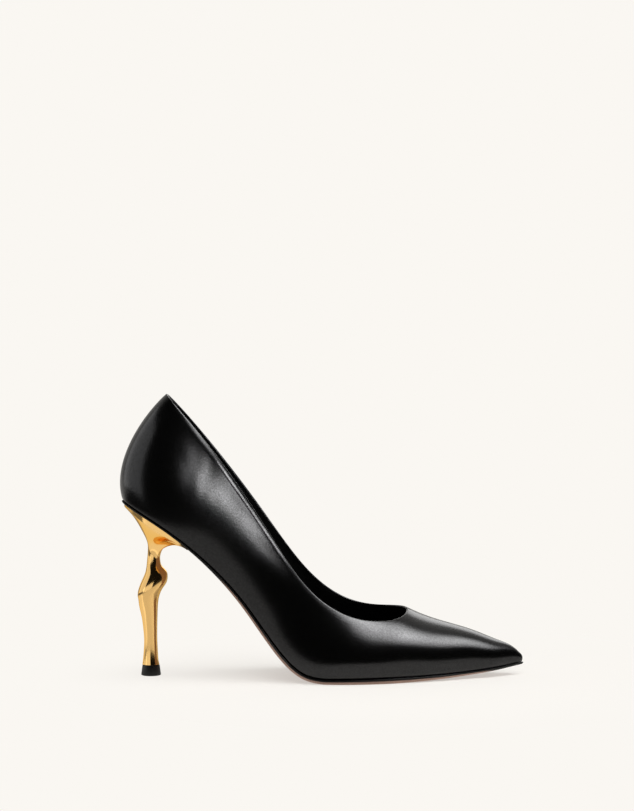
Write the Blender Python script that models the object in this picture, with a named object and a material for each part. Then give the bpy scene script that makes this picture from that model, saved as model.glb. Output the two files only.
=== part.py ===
"""High heel pump with a pointed toe, built from its maker's five pieces.

Metres, +Z up, floor at z = 0, toe along +X. A right shoe: its outer side faces -Y.
The tables give shares of a few driving sizes, a row for each section of the last.
"""

import math
from typing import Callable, NamedTuple

import bmesh
import bpy
import numpy as np

MM = 0.001
OUTER = -1
INNER = 1

# Driving sizes, in millimetres
SHOE_LENGTH = 228.0  # back of the counter to the toe tip, along the floor
BALL_WIDTH = 78.0  # across the joints, over the upper
HEEL_HEIGHT = 98.4  # floor to the underside of the sole at the back of the seat
CROWN_HEIGHT = 168.0  # floor to the crown of the last, above the instep
TOE_SPRING = 6.8  # floor to the underside of the sole at the toe tip
MIDDLE_ALONG = 50.24  # x = 0, in percent of the length: half way between the outermost points
THROAT_ALONG = 71.5  # front of the opening, in percent of the length
WALL = 1.6  # leather and lining together
GAP = 0.3  # between curved pieces that meet
INSOLE_THICK = 2.0
INSOLE_INSET = 2.1  # edge of the insole inside the feather line
TREAD_START = 50.9  # flat part of the sole under the ball, in percent of the length
TREAD_END = 60.5
SPRING_POWER = 1.45  # how late the toe spring rises
SOLE_STANDOUT = 0.5  # sole edge beyond the feather line
SOLE_BEVEL = 0.9  # tread edge inside the sole edge
EDGE_SHARE = 0.45  # height in the sole edge where the bevel starts

# Top piece and heel, in millimetres
TOP_PIECE_X = -96.8  # centre of the top piece, from the middle of the shoe
HEEL_Y = 1.5  # centre line of the heel, toward the inner side
TOP_PIECE_HEIGHT = 5.9
TOP_PIECE_FOOT = 5.6  # radius on the floor
TOP_PIECE_HEAD = 4.9  # radius under the heel
TOP_PIECE_ROUND = 0.5  # rounded edge on the floor
SEAT_INSET = 0.8  # heel seat inside the sole edge
WING_SHARE = 0.207  # how far the seat's wings reach along the outline, as a share of it
WING_ANGLE = 54.0  # where the wing tips stand around the neck, in degrees from the front
BREAST_X = -81.0  # middle of the heel breast, where it meets the sole

# Counts of sections
SIDE_COLUMNS = 34
TOE_COLUMNS = 15
WALL_ROWS = 11
HEEL_COLUMNS = 40
FLARE_ROWS = 9
SHAFT_ROWS = 24
ROW_FOLLOW = 0.6  # how soon the rows of the wall follow its top edge
ROW_POWER = 4.0
WELD = 0.05  # points closer than this become one


class LastRow(NamedTuple):
    """A section of the last, from the feather line (sole edge) up to the crown line along its top."""

    along: float  # feather line from the back, percent of SHOE_LENGTH
    outer: float  # feather line to the outer side, percent of BALL_WIDTH
    inner: float  # feather line to the inner side, percent of BALL_WIDTH
    crown_along: float  # crown line from the back, percent of SHOE_LENGTH
    crown_rise: float  # crown line above the floor, percent of CROWN_HEIGHT
    crown_side: float  # crown line toward the inner side, percent of BALL_WIDTH
    turn: float  # way the wall faces inward in plan: 0 forward, 90 across, 180 backward
    rake: float  # forward lean of the wall where it leaves the sole, degrees
    lower: float  # how long the wall keeps that lean, mm
    swell: float  # how far it swells outward there, mm
    shoulder: float  # breadth of the crown, mm
    pitch: float  # rise of the crown line at its two ends, degrees


LAST = (
    LastRow(0.9, -1.9, 1.9, 17.3, 100.6, 1.9, 0, -19, 26.0, 0.0, 21.0, 26),
    LastRow(3.5, 17.9, 21.8, 18.4, 99.7, 1.9, 48, -8, 30.0, 4.0, 19.0, 22),
    LastRow(8.8, 29.0, 32.6, 21.9, 97.0, 2.3, 76, 12, 27.0, 7.0, 18.0, 10),
    LastRow(16.2, 33.4, 34.8, 28.9, 86.3, 3.1, 88, 25, 24.0, 7.5, 21.0, 0),
    LastRow(23.7, 30.4, 31.0, 36.4, 72.0, 3.8, 90, 33, 22.0, 8.0, 18.5, 0),
    LastRow(30.7, 28.6, 27.0, 43.0, 60.1, 4.5, 90, 38, 21.0, 9.0, 18.5, 0),
    LastRow(37.3, 31.4, 28.6, 49.1, 50.0, 5.1, 90, 38, 22.0, 10.5, 20.0, 0),
    LastRow(44.7, 40.6, 38.2, 55.7, 39.9, 5.8, 90, 30, 22.0, 12.5, 17.0, 0),
    LastRow(53.1, 46.9, 45.6, 61.4, 32.7, 6.4, 90, 18, 21.0, 13.0, 13.0, 0),
    LastRow(61.8, 45.3, 45.4, 66.9, 27.0, 6.4, 90, 10, 19.5, 11.5, 14.0, 0),
    LastRow(70.2, 39.3, 38.5, 72.0, 22.5, 6.4, 90, 3, 19.5, 9.5, 19.0, -22),
    LastRow(78.9, 29.4, 29.4, 79.2, 18.2, 6.4, 90, 0, 16.0, 7.0, 18.0, -20),
    LastRow(87.7, 16.9, 19.5, 87.9, 14.5, 6.4, 92, 0, 12.0, 4.8, 12.0, -20),
    LastRow(94.3, 5.9, 13.1, 94.3, 11.6, 6.4, 98, 0, 8.5, 2.8, 7.5, -20),
    LastRow(98.2, -2.3, 10.1, 97.9, 9.8, 6.4, 122, 0, 5.5, 1.0, 4.0, -26),
    LastRow(100.0, -6.4, 6.4, 99.1, 8.6, 6.4, 180, 3, 4.5, 0.0, 3.0, -38),
)


class ShankRow(NamedTuple):
    """Underside of the sole behind the ball."""

    along: float  # percent of SHOE_LENGTH
    rise: float  # percent of HEEL_HEIGHT


SHANK = (
    ShankRow(0.9, 100.0),
    ShankRow(8.3, 90.5),
    ShankRow(15.8, 78.6),
    ShankRow(23.7, 61.6),
    ShankRow(30.7, 42.3),
    ShankRow(36.0, 25.0),
    ShankRow(40.8, 11.0),
    ShankRow(45.6, 2.6),
    ShankRow(TREAD_START, 0.0),
)


class SoleRow(NamedTuple):
    """Thickness of the outsole."""

    along: float  # percent of SHOE_LENGTH
    thick: float  # mm


SOLE = (
    SoleRow(0.0, 0.8),
    SoleRow(18.0, 1.1),
    SoleRow(30.0, 1.9),
    SoleRow(40.0, 2.3),
    SoleRow(55.0, 2.5),
    SoleRow(70.0, 2.7),
    SoleRow(85.0, 1.8),
    SoleRow(100.0, 1.1),
)


class ToplineRow(NamedTuple):
    """Top edge of the upper, seen from the side."""

    along: float  # percent of SHOE_LENGTH
    outer: float  # height on the outer side, percent of CROWN_HEIGHT
    inner: float  # height on the inner side, percent of CROWN_HEIGHT


TOPLINE = (
    ToplineRow(11.6, 95.7, 95.7),
    ToplineRow(18.1, 86.0, 85.3),
    ToplineRow(26.0, 71.5, 71.8),
    ToplineRow(35.8, 51.7, 53.6),
    ToplineRow(44.9, 34.6, 37.0),
    ToplineRow(53.5, 23.8, 26.4),
    ToplineRow(61.6, 20.0, 22.9),
    ToplineRow(THROAT_ALONG, 20.2, 22.0),
)
THROAT_ARC = 6.0  # last stretch of the top edge, turning up to the throat, percent of the length


class ShaftRow(NamedTuple):
    """A section of the heel below its neck."""

    height: float  # above the floor, mm
    shift: float  # centre forward of the top piece, mm
    depth: float  # half size along the foot, mm
    breadth: float  # half size across the foot, mm
    slant: float  # rise of the section toward the toe, degrees


SHAFT = (
    ShaftRow(TOP_PIECE_HEIGHT + GAP, -0.1, 4.85, 4.85, 0),
    ShaftRow(9.2, -0.2, 4.35, 4.4, 0),
    ShaftRow(14.0, -0.15, 4.0, 4.0, 0),
    ShaftRow(20.0, -0.15, 3.75, 3.85, 0),
    ShaftRow(27.0, -0.4, 4.0, 4.0, 5),
    ShaftRow(34.2, -0.7, 4.7, 4.5, 17),
    ShaftRow(40.0, -0.95, 5.95, 5.2, 28),
    ShaftRow(44.7, -0.3, 7.6, 6.0, 31),
    ShaftRow(48.2, 0.85, 9.3, 6.6, 30),
    ShaftRow(52.3, 1.15, 9.5, 6.7, 28),
    ShaftRow(57.3, 2.05, 7.0, 5.9, 19),
    ShaftRow(60.6, 1.8, 4.9, 4.8, 16),
    ShaftRow(63.4, 1.6, 4.0, 4.1, 10),
    ShaftRow(66.2, 1.65, 3.65, 3.75, 0),
)


class FlareRow(NamedTuple):
    """How the heel spreads from its neck to the seat."""

    angle: float  # around the neck, degrees from the front
    band: float  # upright band under the seat, mm
    fall: float  # slope below the seat where the flare leaves the band, degrees
    seat_reach: float  # how long it keeps that slope, mm
    neck_reach: float  # how long it keeps the shaft's way above the neck, mm


FLARE = (
    FlareRow(0.0, 0.4, 54.0, 6.0, 5.0),
    FlareRow(WING_ANGLE, 0.3, 7.0, 14.0, 6.0),
    FlareRow(100.0, 2.8, 32.0, 15.0, 11.0),
    FlareRow(140.0, 1.8, 26.0, 16.0, 12.0),
    FlareRow(180.0, 1.3, 12.0, 17.0, 13.0),
)


class Finish(NamedTuple):
    """Plain look of a piece."""

    colour: tuple[float, float, float]
    roughness: float
    metallic: float


FINISHES = {
    "upper": Finish((0.012, 0.012, 0.013), 0.32, 0.0),
    "insole": Finish((0.020, 0.019, 0.018), 0.55, 0.0),
    "outsole": Finish((0.30, 0.19, 0.12), 0.5, 0.0),
    "heel": Finish((0.72, 0.45, 0.15), 0.12, 1.0),
    "top_piece": Finish((0.015, 0.015, 0.015), 0.6, 0.0),
}


def spline(knots: list[float], values: list[float], level_ends: bool) -> Callable[[float], float]:
    """Cubic spline through the values; its ends are level, or straight where level_ends is False."""
    x = np.array(knots, float)
    v = np.array(values, float)
    h = np.diff(x)
    d = np.diff(v) / h
    n = len(x)
    matrix = np.zeros((n, n))
    right = np.zeros(n)
    for i in range(1, n - 1):
        matrix[i, i - 1 : i + 2] = 1 / h[i - 1], 2 / h[i - 1] + 2 / h[i], 1 / h[i]
        right[i] = 3 * (d[i - 1] / h[i - 1] + d[i] / h[i])
    matrix[0, 0] = matrix[-1, -1] = 1.0 if level_ends else 2.0
    if not level_ends:
        matrix[0, 1] = matrix[-1, -2] = 1.0
        right[0] = 3 * d[0]
        right[-1] = 3 * d[-1]
    slope = np.linalg.solve(matrix, right)

    def value(at: float) -> float:
        i = int(np.clip(np.searchsorted(x, at) - 1, 0, n - 2))
        q = (at - x[i]) / h[i]
        start = v[i] * (1 + 2 * q) * (1 - q) ** 2 + slope[i] * h[i] * q * (1 - q) ** 2
        end = v[i + 1] * q**2 * (3 - 2 * q) + slope[i + 1] * h[i] * q**2 * (q - 1)
        return float(start + end)

    return value


def along_x(percent: float) -> float:
    """Place along the foot, in millimetres from the middle of the shoe."""
    return (percent - MIDDLE_ALONG) / 100 * SHOE_LENGTH


def bezier(points: list[np.ndarray], q: float) -> np.ndarray:
    """Point at share q of a cubic curve with four control points."""
    a, b, c, d = points
    return a * (1 - q) ** 3 + 3 * b * q * (1 - q) ** 2 + 3 * c * q**2 * (1 - q) + d * q**3


class SoleProfile:
    """Heights of the sole, seen from the side."""

    STEPS = 900
    MARGIN = 6.0  # how far the profile runs past both ends of the shoe, mm

    def __init__(self) -> None:
        """Work out the tread line and the sole's thickness along the foot."""
        rise = [r.rise / 100 * HEEL_HEIGHT for r in SHANK]
        shank = spline([along_x(r.along) for r in SHANK], rise, False)
        thick = spline([along_x(r.along) for r in SOLE], [r.thick for r in SOLE], False)
        reach = SHOE_LENGTH / 2 + self.MARGIN
        self.x = np.linspace(-reach, reach, self.STEPS)
        self.tread = np.array([self.tread_height(x, shank) for x in self.x])
        self.thick = np.array([thick(x) for x in self.x])
        self.steep = np.gradient(self.tread, self.x)
        size = np.hypot(1.0, self.steep)
        self.normal = np.stack([-self.steep / size, 1 / size])

    def tread_height(self, x: float, shank: Callable[[float], float]) -> float:
        """Underside of the sole: shank, flat tread, toe spring."""
        start, end = along_x(TREAD_START), along_x(TREAD_END)
        if x < start:
            return max(shank(x), 0.0)
        if x < end:
            return 0.0
        return TOE_SPRING * ((x - end) / (along_x(100) - end)) ** SPRING_POWER

    def height(self, x: float, share: float, extra: float = 0.0) -> float:
        """Height at x of the line that lies share of the thickness and extra mm above the tread."""
        lift = share * self.thick + extra
        return float(np.interp(x, self.x + lift * self.normal[0], self.tread + lift * self.normal[1]))

    def slope(self, x: float) -> float:
        """Rise of the tread line per millimetre toward the toe."""
        return float(np.interp(x, self.x, self.steep))

    def feather(self, x: float) -> float:
        """Height of the feather line, where the upper meets the sole."""
        return self.height(x, 1.0, GAP)


class Last:
    """The form that the upper is pulled over: columns from the feather line up to the crown line."""

    def __init__(self, sole: SoleProfile) -> None:
        """Turn the section table into smooth functions of the place along the outline."""
        self.sole = sole
        x = [along_x(r.along) for r in LAST]
        half = [(r.inner + r.outer) / 200 * BALL_WIDTH for r in LAST]
        middle = [(r.inner - r.outer) / 200 * BALL_WIDTH for r in LAST]
        self.knots = [0.0]
        for i in range(1, len(LAST)):
            step = math.hypot(x[i] - x[i - 1], half[i] - half[i - 1])
            self.knots.append(self.knots[-1] + step)
        self.length = self.knots[-1]
        self.x = self.run(x)
        self.half = self.run(half, False)
        self.middle = self.run(middle)
        self.crown_x = self.run([along_x(r.crown_along) for r in LAST])
        self.crown_y = self.run([r.crown_side / 100 * BALL_WIDTH for r in LAST])
        self.crown_z = self.run([r.crown_rise / 100 * CROWN_HEIGHT for r in LAST])
        self.turn = self.run([math.radians(r.turn) for r in LAST], False)
        self.rake = self.run([math.radians(r.rake) for r in LAST])
        self.lower = self.run([r.lower for r in LAST])
        self.swell = self.run([r.swell for r in LAST])
        self.shoulder = self.run([r.shoulder for r in LAST])
        self.pitch = self.run([math.radians(r.pitch) for r in LAST])
        top_x = [along_x(r.along) for r in TOPLINE]
        self.top_edge = {
            OUTER: spline(top_x, [r.outer / 100 * CROWN_HEIGHT for r in TOPLINE], False),
            INNER: spline(top_x, [r.inner / 100 * CROWN_HEIGHT for r in TOPLINE], False),
        }
        self.throat = self.find_throat()

    def run(self, values: list[float], level_ends: bool = True) -> Callable[[float], float]:
        """Smooth function of the place along the outline, 0 at the back and length at the toe tip."""
        return spline(self.knots, values, level_ends)

    def find_throat(self) -> float:
        """Place along the outline of the column whose crown point is the front of the opening."""
        low, high = 0.0, self.length
        for _ in range(50):
            middle = (low + high) / 2
            low, high = (middle, high) if self.crown_x(middle) < along_x(THROAT_ALONG) else (low, middle)
        return (low + high) / 2

    def feather_point(self, place: float, side: int) -> np.ndarray:
        """Point of the feather line on one side."""
        x = self.x(place)
        return np.array([x, self.middle(place) + side * self.half(place), self.sole.feather(x)])

    def column(self, place: float, side: int) -> list[np.ndarray]:
        """Control points of one column of the last."""
        turn = self.turn(place)
        rake = self.rake(place)
        pitch = self.pitch(place)
        foot = self.feather_point(place, side)
        crown = np.array([self.crown_x(place), self.crown_y(place), self.crown_z(place)])
        outward = np.array([-math.cos(turn), side * math.sin(turn), 0.0])
        upward = np.array([math.sin(rake), 0.0, math.cos(rake)])
        along = np.array([math.cos(pitch), 0.0, math.sin(pitch)])
        over = math.cos(turn) * along - side * math.sin(turn) * np.array([0.0, 1.0, 0.0])
        low = foot + self.lower(place) * upward + self.swell(place) * outward
        return [foot, low, crown - self.shoulder(place) * over, crown]

    def top_height(self, x: float, side: int) -> float:
        """Height of the top edge at x, turning up into the throat at its front end."""
        end = along_x(THROAT_ALONG)
        reach = THROAT_ARC / 100 * SHOE_LENGTH
        q = min(max((x - end + reach) / reach, 0.0), 1.0)
        rise = self.crown_z(self.throat) - self.top_edge[side](end)
        return self.top_edge[side](min(x, end)) + rise * (1 - math.sqrt(1 - q**2))

    def cut(self, place: float, side: int) -> float:
        """Share of a column that lies below the top edge."""
        if place >= self.throat:
            return 1.0
        points = self.column(place, side)
        low, high = 0.0, 1.0
        for _ in range(40):
            middle = (low + high) / 2
            x, _, z = bezier(points, middle)
            low, high = (middle, high) if z < self.top_height(x, side) else (low, middle)
        return (low + high) / 2

    def places(self) -> list[float]:
        """Columns from the back to the toe tip, closer together at the throat and at both ends."""
        first = 0.6
        sides = np.linspace(first, math.pi, SIDE_COLUMNS + 1)
        sides = self.throat * (math.cos(first) - np.cos(sides)) / (math.cos(first) + 1)
        toe = (1 - np.cos(np.linspace(0, math.pi, TOE_COLUMNS + 1))) / 2
        toe = self.throat + toe * (self.length - self.throat)
        return [float(p) for p in sides] + [float(p) for p in toe[1:]]

    def loop(self) -> list[tuple[float, int]]:
        """Columns all the way round: back, outer side, toe tip, inner side."""
        places = self.places()
        outer = [(p, OUTER) for p in places]
        inner = [(p, INNER) for p in places[-2:0:-1]]
        return outer + inner

    def outline(self, outset: float) -> list[np.ndarray]:
        """Feather line all the way round in plan, moved outward by outset mm."""
        points = np.array([self.feather_point(p, s)[:2] for p, s in self.loop()])
        ahead = np.roll(points, -1, axis=0) - np.roll(points, 1, axis=0)
        ahead /= np.linalg.norm(ahead, axis=1)[:, None]
        outward = np.stack([ahead[:, 1], -ahead[:, 0]], axis=1)
        return list(points + outset * outward)


class Solid:
    """A mesh that grows ring by ring."""

    def __init__(self) -> None:
        """Start an empty mesh."""
        self.mesh = bmesh.new()

    def ring(self, points: list[np.ndarray]) -> list:
        """First closed ring of vertices, from points in millimetres."""
        verts = [self.mesh.verts.new(np.asarray(p) * MM) for p in points]
        for a, b in zip(verts, verts[1:] + verts[:1]):
            self.mesh.edges.new((a, b))
        return verts

    def extrude(self, ring: list, points: list[np.ndarray]) -> list:
        """Extrude a ring and move its copy to the given points."""
        edges = [e for a, b in zip(ring, ring[1:] + ring[:1]) for e in a.link_edges if b in e.verts]
        made = bmesh.ops.extrude_edge_only(self.mesh, edges=edges)["geom"]
        fresh = {v for v in made if isinstance(v, bmesh.types.BMVert)}
        grown = [next(e.other_vert(v) for e in v.link_edges if e.other_vert(v) in fresh) for v in ring]
        for vert, point in zip(grown, points):
            vert.co = np.asarray(point) * MM
        return grown

    def rungs(self, ring: list) -> None:
        """Close a ring that is the same at both sides by strips across it."""
        n = len(ring)
        for i in range(n // 2):
            corners = [ring[i], ring[i + 1], ring[n - 1 - i], ring[-i]]
            self.mesh.faces.new(dict.fromkeys(corners))

    def lid(self, ring: list) -> None:
        """Close a ring by one flat face."""
        self.mesh.faces.new(ring)

    def finish(self, name: str) -> bpy.types.Object:
        """Weld, turn the faces outward and put the piece in the scene with its finish."""
        bmesh.ops.remove_doubles(self.mesh, verts=self.mesh.verts[:], dist=WELD * MM)
        bmesh.ops.recalc_face_normals(self.mesh, faces=self.mesh.faces[:])
        for face in self.mesh.faces:
            face.smooth = True
        data = bpy.data.meshes.new(name)
        self.mesh.to_mesh(data)
        self.mesh.free()
        piece = bpy.data.objects.new(name, data)
        bpy.context.scene.collection.objects.link(piece)
        data.materials.append(make_material(name, FINISHES[name]))
        return piece


def make_material(name: str, finish: Finish) -> bpy.types.Material:
    """Principled material of one piece."""
    material = bpy.data.materials.new(name)
    material.use_nodes = True
    shader = material.node_tree.nodes["Principled BSDF"]
    shader.inputs["Base Color"].default_value = (*finish.colour, 1.0)
    shader.inputs["Roughness"].default_value = finish.roughness
    shader.inputs["Metallic"].default_value = finish.metallic
    return material


def row_share(row: float, cut: float) -> float:
    """Share of a column at which a row lies: level low on the wall, along the top edge high up."""
    follow = min(ROW_FOLLOW * cut / max(1 - cut, WELD), ROW_POWER)
    return row * (1 - (1 - cut) * row**follow)


def make_upper(last: Last) -> bpy.types.Object:
    """Lasted shell, open along the top edge and underneath, with its wall grown inward."""
    columns = [(last.column(p, s), last.cut(p, s)) for p, s in last.loop()]
    solid = Solid()
    ring = solid.ring([points[0] for points, _ in columns])
    for row in range(1, WALL_ROWS + 1):
        share = row / WALL_ROWS
        ring = solid.extrude(ring, [bezier(points, row_share(share, cut)) for points, cut in columns])
    upper = solid.finish("upper")
    wall = upper.modifiers.new("wall", "SOLIDIFY")
    wall.thickness = WALL * MM
    wall.offset = -1.0
    wall.use_even_offset = True
    return upper


def make_plate(name: str, last: Last, levels: list[tuple[float, float, float]]) -> bpy.types.Object:
    """Sole or insole: rings at the given outset, share of the sole's thickness and extra height."""
    solid = Solid()
    ring: list = []
    for i, (outset, share, extra) in enumerate(levels):
        plan = last.outline(outset)
        points = [np.array([x, y, last.sole.height(x, share, extra)]) for x, y in plan]
        ring = solid.extrude(ring, points) if i else solid.ring(points)
        if i in (0, len(levels) - 1):
            solid.rungs(ring)
    return solid.finish(name)


def make_insole(last: Last) -> bpy.types.Object:
    """Board with its sock, resting just above the outsole."""
    inset = -INSOLE_INSET
    return make_plate("insole", last, [(inset, 1.0, GAP), (inset, 1.0, GAP + INSOLE_THICK)])


def make_outsole(last: Last) -> bpy.types.Object:
    """Thin sole with an upright edge and a bevel below it."""
    tread = SOLE_STANDOUT - SOLE_BEVEL
    levels = [(tread, 0.0, 0.0), (SOLE_STANDOUT, EDGE_SHARE, 0.0), (SOLE_STANDOUT, 1.0, 0.0)]
    return make_plate("outsole", last, levels)


def heel_angles() -> list[float]:
    """Angles of the heel's columns around its neck, from the front."""
    return [2 * math.pi * i / HEEL_COLUMNS for i in range(HEEL_COLUMNS)]


def seat_point(last: Last, angle: float) -> np.ndarray:
    """Edge of the heel seat in plan: the sole's outline, and a hollow breast line across its front."""
    side = OUTER if angle < math.pi else INNER
    apart = min(angle, 2 * math.pi - angle)
    wing = math.radians(WING_ANGLE)
    tip_place = WING_SHARE * last.length

    def edge(place: float) -> np.ndarray:
        step = 0.2
        here = last.feather_point(place, side)[:2]
        ahead = last.feather_point(place + step, side)[:2] - here
        inward = np.array([ahead[1], -ahead[0]]) * side / np.linalg.norm(ahead)
        return here + SEAT_INSET * inward

    if apart >= wing:
        return edge(tip_place * (math.pi - apart) / (math.pi - wing))
    tip = edge(tip_place)
    q = apart / wing
    return np.array([BREAST_X + (tip[0] - BREAST_X) * q**2, HEEL_Y + (tip[1] - HEEL_Y) * q])


def shaft_ring(rows: dict[str, Callable[[float], float]], at: float) -> list[np.ndarray]:
    """Slanting oval section of the heel at share at of its rows."""
    slant = math.radians(rows["slant"](at))
    centre = np.array([TOP_PIECE_X + rows["shift"](at), HEEL_Y, rows["height"](at)])
    fore = rows["depth"](at) * np.array([math.cos(slant), 0.0, math.sin(slant)])
    across = rows["breadth"](at) * np.array([0.0, OUTER, 0.0])
    return [centre + fore * math.cos(a) + across * math.sin(a) for a in heel_angles()]


def make_heel(last: Last) -> bpy.types.Object:
    """Sculpted heel: seat along the sole, hollow flare, neck, slanting knuckle and slender shaft."""
    steps = list(range(len(SHAFT)))
    rows = {f: spline(steps, [getattr(r, f) for r in SHAFT], False) for f in ShaftRow._fields}
    rings = [shaft_ring(rows, i * (len(SHAFT) - 1) / SHAFT_ROWS) for i in range(SHAFT_ROWS + 1)]
    flare_at = [math.radians(r.angle) for r in FLARE]
    flare = {f: spline(flare_at, [getattr(r, f) for r in FLARE], True) for f in FlareRow._fields}
    columns = []
    seat = []
    for angle, under, neck in zip(heel_angles(), rings[-2], rings[-1]):
        apart = min(angle, 2 * math.pi - angle)
        x, y = seat_point(last, angle)
        band = flare["band"](apart)
        fall = math.radians(flare["fall"](apart))
        edge = np.array([x, y, last.sole.height(x, 0.0, -GAP - band)])
        slope = last.sole.slope(x)
        inward = np.array([neck[0] - x, neck[1] - y, slope * (neck[0] - x)])
        inward /= np.linalg.norm(inward)
        below = np.array([slope, 0.0, -1.0]) / math.hypot(slope, 1.0)
        leave = flare["seat_reach"](apart) * (math.cos(fall) * inward + math.sin(fall) * below)
        rise = flare["neck_reach"](apart) * (neck - under) / np.linalg.norm(neck - under)
        columns.append([edge, edge + leave, neck + rise, neck])
        seat.append(np.array([x, y, last.sole.height(x, 0.0, -GAP)]))
    solid = Solid()
    ring = solid.ring(rings[0])
    solid.lid(ring)
    for points in rings[1:]:
        ring = solid.extrude(ring, points)
    for i in range(1, FLARE_ROWS + 1):
        ring = solid.extrude(ring, [bezier(points, 1 - i / FLARE_ROWS) for points in columns])
    ring = solid.extrude(ring, seat)
    solid.rungs(ring)
    return solid.finish("heel")


def make_top_piece() -> bpy.types.Object:
    """Small tapered wearing piece with a flat foot."""
    levels = [
        (TOP_PIECE_FOOT - TOP_PIECE_ROUND, 0.0),
        (TOP_PIECE_FOOT, TOP_PIECE_ROUND),
        (TOP_PIECE_HEAD, TOP_PIECE_HEIGHT),
    ]
    solid = Solid()
    ring: list = []
    for i, (radius, height) in enumerate(levels):
        centre = np.array([TOP_PIECE_X, HEEL_Y, height])
        around = [np.array([math.cos(a), OUTER * math.sin(a), 0.0]) for a in heel_angles()]
        points = [centre + radius * way for way in around]
        ring = solid.extrude(ring, points) if i else solid.ring(points)
        if i in (0, len(levels) - 1):
            solid.lid(ring)
    return solid.finish("top_piece")


def main() -> None:
    """Clear the scene and build the five pieces."""
    for old in list(bpy.data.objects):
        bpy.data.objects.remove(old, do_unlink=True)
    last = Last(SoleProfile())
    make_upper(last)
    make_insole(last)
    make_outsole(last)
    make_heel(last)
    make_top_piece()


main()
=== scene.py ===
"""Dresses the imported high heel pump: calf upper, lining, sock, painted sole, plated heel and top piece.

The driving sizes and tables are of the same kind as in the CAD part. Toe, crown line and top edge are fitted
closer to the photograph here, and all is drawn far finer. Sizes are mm unless a comment says otherwise.
Frame: metres, +Z up, floor at z = 0, toe along +X. A right shoe, whose outer side faces -Y.
"""

import logging
import math
from dataclasses import dataclass
from enum import Enum
from typing import Any, NamedTuple, Sequence

import bmesh
import bpy
import numpy as np
from bpy.types import Material, Node, NodeSocket, NodeTree, Object
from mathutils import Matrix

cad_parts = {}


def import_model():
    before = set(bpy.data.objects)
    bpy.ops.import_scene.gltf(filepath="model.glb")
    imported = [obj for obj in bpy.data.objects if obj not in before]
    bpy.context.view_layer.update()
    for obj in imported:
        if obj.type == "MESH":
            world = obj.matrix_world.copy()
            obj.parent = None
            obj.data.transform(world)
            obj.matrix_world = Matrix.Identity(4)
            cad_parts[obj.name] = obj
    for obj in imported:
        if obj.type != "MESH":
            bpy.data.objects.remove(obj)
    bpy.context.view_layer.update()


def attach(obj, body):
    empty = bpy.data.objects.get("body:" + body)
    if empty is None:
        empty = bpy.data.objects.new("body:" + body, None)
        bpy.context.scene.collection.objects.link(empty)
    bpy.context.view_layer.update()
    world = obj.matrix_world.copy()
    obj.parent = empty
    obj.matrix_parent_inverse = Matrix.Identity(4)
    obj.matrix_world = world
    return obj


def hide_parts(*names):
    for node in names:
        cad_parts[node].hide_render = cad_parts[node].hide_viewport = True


LOG = logging.getLogger("pump")
MM = 0.001
BODY = "root"

# Driving sizes, in millimetres
SHOE_LENGTH = 228.0
BALL_WIDTH = 78.0
HEEL_HEIGHT = 98.4
CROWN_HEIGHT = 168.0
TOE_SPRING = 5.8
HEEL_X = -96.8  # axis of the heel's foot
HEEL_Y = 1.5
GAP = 0.3  # between the sole and what lies on it

# Places along the foot, in percent of SHOE_LENGTH from the back
MIDDLE_ALONG = 50.24
THROAT_ALONG = 71.5
THROAT_ARC = 6.0  # length of the curve into the throat
TREAD_START = 50.9
TREAD_END = 60.5

# Shares, angles and tolerances
SPRING_POWER = 2.3  # how late the toe springs up
WING_ANGLE = 54.0  # tips of the heel's front wings, around the neck from the front, degrees
SHARP_ANGLE = math.radians(50)  # edges that turn more than this are shaded sharp
WELD = 0.004  # points closer than this become one, mm
STEP = 0.2  # short step along the outline, for directions, mm
TINY = 1e-12  # keeps divisions and comparisons safe

Array = np.ndarray


class Side(Enum):
    """Side of the foot, with its sign along Y."""

    OUTER = -1
    INNER = 1


Sides = dict[Side, Array]  # points or normals of both sides of the foot


class LastRow(NamedTuple):
    """A section of the last, from the feather line (sole edge) up to the crown line along its top."""

    along: float  # feather line from the back, percent of SHOE_LENGTH
    outer: float  # feather line to the outer side, percent of BALL_WIDTH
    inner: float  # feather line to the inner side, percent of BALL_WIDTH
    crown_along: float  # crown line from the back, percent of SHOE_LENGTH
    crown_rise: float  # crown line above the floor, percent of CROWN_HEIGHT
    crown_side: float  # crown line toward the inner side, percent of BALL_WIDTH
    turn: float  # way the wall faces inward in plan: 0 forward, 90 across, 180 backward
    rake: float  # forward lean of the wall where it leaves the sole, degrees
    lower: float  # how long the wall keeps that lean, mm
    swell: float  # how far it swells outward there, mm
    shoulder: float  # breadth of the crown, mm
    pitch: float  # rise of the crown line at its two ends, degrees


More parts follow.
